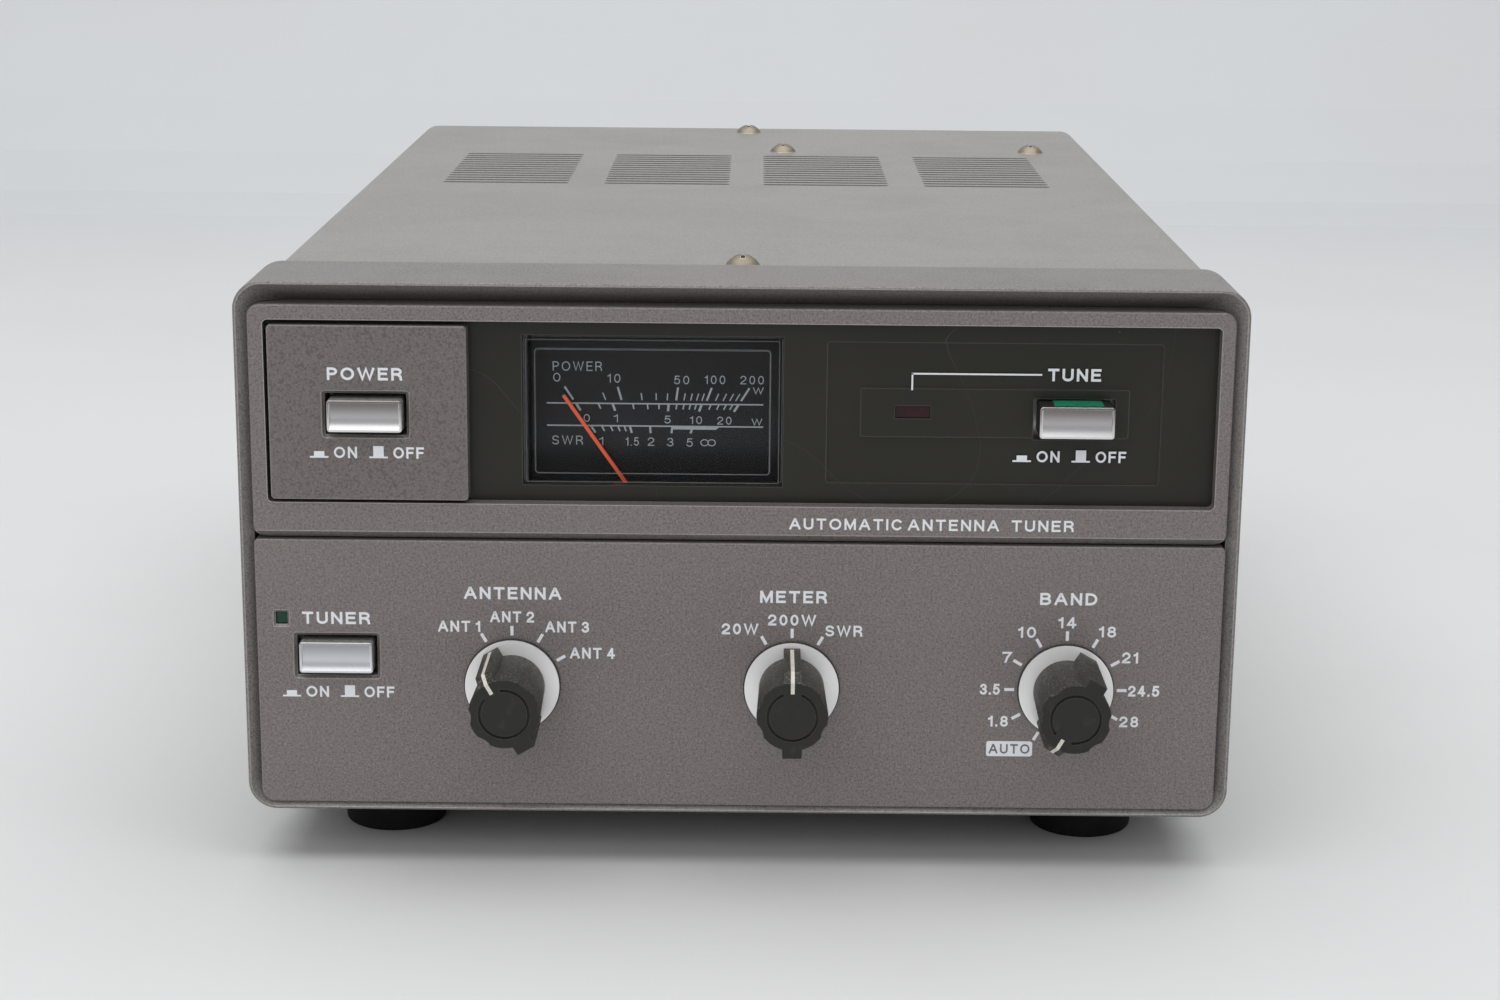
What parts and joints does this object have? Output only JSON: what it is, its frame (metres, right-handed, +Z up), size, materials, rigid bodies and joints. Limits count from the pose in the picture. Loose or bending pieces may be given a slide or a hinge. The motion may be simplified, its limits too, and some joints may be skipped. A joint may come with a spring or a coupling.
{
  "type": "antenna tuner",
  "caption": "Automatic antenna tuner in a metal case with a moulded front, a power and standing-wave meter, push buttons, selector knobs and rear coaxial sockets.",
  "frame": {"origin": "on the resting surface under the middle of the overall box", "axes": "+Z up, -Y towards the user in front of the panel, +X to the user's right"},
  "size_m": [0.174, 0.2904, 0.1061],
  "materials": {
    "bezel_plastic": "fine metallic grey paint on moulded plastic",
    "front_metal": "warm metallic grey with a fine speckle",
    "switch_plate": "warm metallic grey",
    "display_plastic": "dark olive gloss",
    "clear_window": "clear",
    "meter_black": "matte black",
    "dial_card": "printed black card",
    "needle_red": "bright orange red",
    "red_lens": "dark red tinted lens",
    "green_lens": "dark green tinted lens",
    "switch_body": "black moulding",
    "plated_steel": "zinc plated",
    "rear_paint": "dark grey textured paint",
    "cover_paint": "light grey satin paint",
    "bottom_steel": "grey paint",
    "nickel_screw": "nickel plated",
    "foot_rubber": "black rubber",
    "nickel_barrel": "nickel plated",
    "white_insulator": "white insulator",
    "silver_contact": "silver plated",
    "rear_screw": "nickel plated",
    "brass_stud": "plated brass",
    "nickel_washer": "nickel plated",
    "wing_nut_brass": "nickel over brass",
    "socket_black": "black insert in a plated shell",
    "inlet_black": "black moulding",
    "holder_black": "black moulding",
    "cap_black": "black moulding",
    "fuse_glass": "clear glass and plated caps",
    "core_steel": "varnished laminations",
    "winding_tape": "amber tape",
    "capacitor_sleeve": "dark blue sleeve",
    "board_laminate": "green laminate",
    "relay_shell": "cream moulding",
    "coil_copper": "copper wire on a former",
    "capacitor_metal": "bare aluminium",
    "motor_shell": "plated steel can",
    "button_chrome": "satin metallised plastic",
    "knob_black": "matte black",
    "knob_disc_metal": "radially brushed",
    "gear_brass": "cut brass"
  },
  "bodies": {
    "housing": {"ac_inlet": "inlet_black", "antenna_relays": "relay_shell", "bottom_cover": "bottom_steel", "capacitor_frames": "capacitor_metal", "capacitor_motors": "motor_shell", "chassis": "plated_steel", "coax_contacts": "silver_contact", "coax_insulators": "white_insulator", "coax_shells": "nickel_barrel", "control_board": "board_laminate", "control_panel": "front_metal", "control_socket": "socket_black", "cover_screws": "nickel_screw", "display_frame": "front_metal", "display_panel": "display_plastic", "feet": "foot_rubber", "foot_screws": "nickel_screw", "front_bezel": "bezel_plastic", "front_subpanel": "plated_steel", "fuse": "fuse_glass", "fuse_holder": "holder_black", "ground_post": "brass_stud", "meter_case": "meter_black", "meter_dial": "dial_card", "meter_window": "clear_window", "power_switch_plate": "switch_plate", "push_switch_bodies": "switch_body", "rear_panel": "rear_paint", "rotary_switch_bodies": "switch_body", "rotary_switch_nuts": "plated_steel", "smoothing_capacitors": "capacitor_sleeve", "socket_screws": "rear_screw", "top_cover": "cover_paint", "transformer_core": "core_steel", "transformer_winding": "winding_tape", "tune_lamp": "red_lens", "tuner_lamp": "green_lens", "tuning_coil": "coil_copper"},
    "power_button": {"power_button": "button_chrome"},
    "tune_button": {"tune_button": "button_chrome"},
    "tuner_button": {"tuner_button": "button_chrome"},
    "meter_needle": {"meter_needle": "needle_red"},
    "input_rotor": {"input_rotor": "capacitor_metal", "input_gear": "gear_brass"},
    "output_rotor": {"output_rotor": "capacitor_metal", "output_gear": "gear_brass"},
    "input_pinion": {"input_pinion": "gear_brass"},
    "output_pinion": {"output_pinion": "gear_brass"},
    "ground_washer": {"ground_washer": "nickel_washer"},
    "ground_wing_nut": {"ground_wing_nut": "wing_nut_brass"},
    "fuse_cap": {"fuse_cap": "cap_black"},
    "antenna_knob": {"antenna_knob": "knob_black", "antenna_knob_disc": "knob_disc_metal", "antenna_switch_shaft": "plated_steel"},
    "meter_knob": {"meter_knob": "knob_black", "meter_knob_disc": "knob_disc_metal", "meter_switch_shaft": "plated_steel"},
    "band_knob": {"band_knob": "knob_black", "band_knob_disc": "knob_disc_metal", "band_switch_shaft": "plated_steel"}
  },
  "joints": [
    {"name": "power_press", "type": "slide", "parent": "housing", "child": "power_button", "axis": [0, 1, 0], "range_m": [0, 0.003], "stiffness_N_per_m": 400, "springref_m": -0.0015},
    {"name": "tune_press", "type": "slide", "parent": "housing", "child": "tune_button", "axis": [0, 1, 0], "range_m": [0, 0.003], "stiffness_N_per_m": 400, "springref_m": -0.0015},
    {"name": "tuner_press", "type": "slide", "parent": "housing", "child": "tuner_button", "axis": [0, 1, 0], "range_m": [0, 0.0025], "stiffness_N_per_m": 400, "springref_m": -0.0015},
    {"name": "antenna_select", "type": "hinge", "parent": "housing", "child": "antenna_knob", "pos_m": [-0.0398, -0.13335, 0.03358], "axis": [0, 1, 0], "range_deg": [0, 90]},
    {"name": "meter_select", "type": "hinge", "parent": "housing", "child": "meter_knob", "pos_m": [0.00934, -0.13335, 0.03358], "axis": [0, 1, 0], "range_deg": [-30, 30]},
    {"name": "band_select", "type": "hinge", "parent": "housing", "child": "band_knob", "pos_m": [0.0576, -0.13335, 0.03358], "axis": [0, 1, 0], "range_deg": [0, 270]},
    {"name": "needle_swing", "type": "hinge", "parent": "housing", "child": "meter_needle", "pos_m": [-0.0145, -0.11935, 0.0602], "axis": [0, 1, 0], "range_deg": [0, 70], "stiffness_Nm_per_rad": 0.0005, "springref_deg": -5.73},
    {"name": "input_tune", "type": "hinge", "parent": "housing", "child": "input_rotor", "pos_m": [-0.052, 0.02165, 0.056], "axis": [0, 1, 0], "continuous": true},
    {"name": "input_drive", "type": "hinge", "parent": "housing", "child": "input_pinion", "pos_m": [-0.052, 0.00065, 0.038], "axis": [0, 1, 0], "continuous": true},
    {"name": "output_tune", "type": "hinge", "parent": "housing", "child": "output_rotor", "pos_m": [-0.008, 0.02165, 0.056], "axis": [0, 1, 0], "continuous": true},
    {"name": "output_drive", "type": "hinge", "parent": "housing", "child": "output_pinion", "pos_m": [-0.008, 0.00065, 0.038], "axis": [0, 1, 0], "continuous": true},
    {"name": "wing_nut_lift", "type": "slide", "parent": "housing", "child": "ground_washer", "axis": [0, 1, 0], "range_m": [0, 0.0028]},
    {"name": "wing_nut_turn", "type": "hinge", "parent": "ground_washer", "child": "ground_wing_nut", "pos_m": [-0.01, 0.13165, 0.042], "axis": [0, 1, 0], "range_deg": [0, 1440]},
    {"name": "fuse_cap_turn", "type": "hinge", "parent": "housing", "child": "fuse_cap", "pos_m": [0.055, 0.12965, 0.078], "axis": [0, 1, 0], "range_deg": [-60, 0]}
  ],
  "couplings": [
    {"joint": "input_drive", "follows": "input_tune", "ratio": -2},
    {"joint": "output_drive", "follows": "output_tune", "ratio": -2},
    {"joint": "wing_nut_turn", "follows": "wing_nut_lift", "rad_per_m": 8976}
  ]
}
